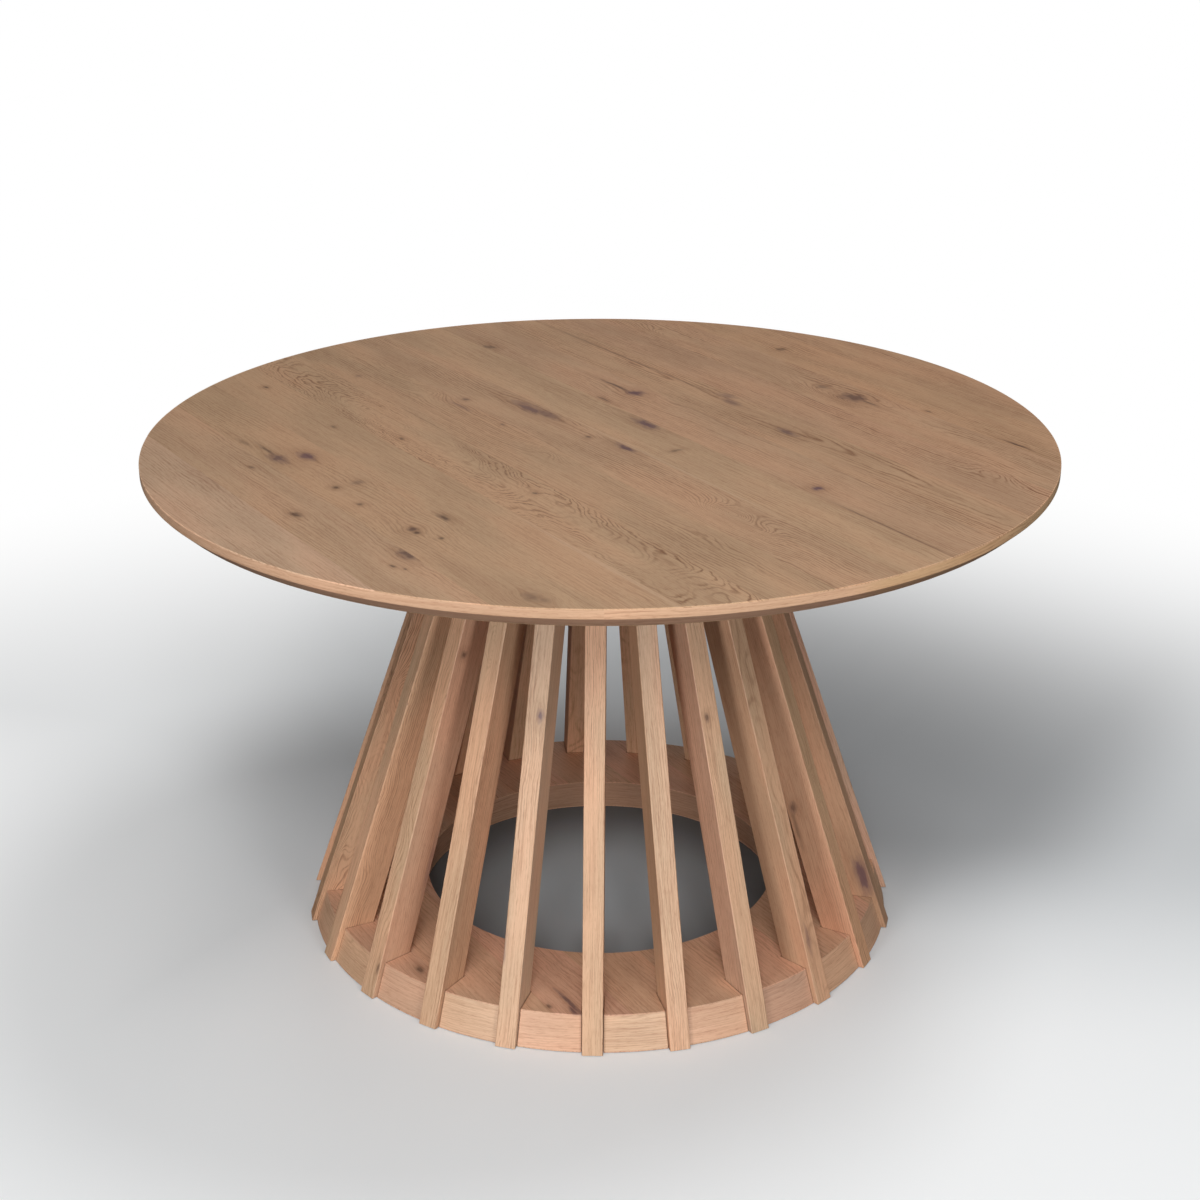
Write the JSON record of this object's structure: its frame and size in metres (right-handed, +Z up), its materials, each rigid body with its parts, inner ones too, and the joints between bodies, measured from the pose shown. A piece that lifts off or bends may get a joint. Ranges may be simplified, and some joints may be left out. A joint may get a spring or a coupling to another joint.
{
  "type": "round pedestal table",
  "caption": "Round dining table: a knotty oak veneered top with a bevelled solid rim on a flared cage of oak slats let into a low base ring.",
  "frame": {"origin": "on the floor, under the centre of the tabletop", "axes": "+Z up; the first slat stands towards -Y; the grain of the top runs 55.5 degrees clockwise of +X"},
  "size_m": [1.3, 1.3, 0.75],
  "materials": {
    "oak_leaves": "knotty oak veneer, matt lacquer",
    "oak_edging": "solid oak, matt lacquer",
    "oak_slats": "solid oak, matt lacquer",
    "oak_veneer": "knotty oak veneer, satin lacquer",
    "fibreboard": "raw fibreboard",
    "birch_plywood": "sanded plywood, clear sealer",
    "beech": "fluted beech dowel, unfinished",
    "steel": "bright steel",
    "zinc_plate": "zinc plated",
    "black_plastic": "moulded, matt"
  },
  "bodies": {
    "root": {"top_leaf_01": "oak_leaves", "top_leaf_02": "oak_leaves", "top_leaf_03": "oak_leaves", "top_leaf_04": "oak_leaves", "top_leaf_05": "oak_leaves", "top_leaf_06": "oak_leaves", "top_leaf_07": "oak_leaves", "top_leaf_08": "oak_leaves", "top_leaf_09": "oak_leaves", "top_leaf_10": "oak_leaves", "top_leaf_11": "oak_leaves", "top_leaf_12": "oak_leaves", "top_leaf_13": "oak_leaves", "top_leaf_14": "oak_leaves", "rim_lipping_01": "oak_edging", "rim_lipping_02": "oak_edging", "rim_lipping_03": "oak_edging", "rim_lipping_04": "oak_edging", "rim_lipping_05": "oak_edging", "rim_lipping_06": "oak_edging", "slat_01": "oak_slats", "slat_02": "oak_slats", "slat_03": "oak_slats", "slat_04": "oak_slats", "slat_05": "oak_slats", "slat_06": "oak_slats", "slat_07": "oak_slats", "slat_08": "oak_slats", "slat_09": "oak_slats", "slat_10": "oak_slats", "slat_11": "oak_slats", "slat_12": "oak_slats", "slat_13": "oak_slats", "slat_14": "oak_slats", "slat_15": "oak_slats", "slat_16": "oak_slats", "slat_17": "oak_slats", "slat_18": "oak_slats", "slat_19": "oak_slats", "slat_20": "oak_slats", "slat_21": "oak_slats", "slat_22": "oak_slats", "slat_23": "oak_slats", "top_core": "fibreboard", "base_ring_core": "fibreboard", "top_backing": "oak_veneer", "base_ring_top_veneer": "oak_veneer", "base_ring_bottom_veneer": "oak_veneer", "base_ring_edge_strips": "oak_edging", "base_ring_bore_band": "oak_edging", "upper_ring": "birch_plywood", "upper_ring_dowels": "beech", "base_ring_dowels": "beech", "top_bolts": "steel", "glide_nails": "steel", "bolt_washers": "zinc_plate", "threaded_inserts": "zinc_plate", "floor_glides": "black_plastic"}
  },
  "joints": []
}
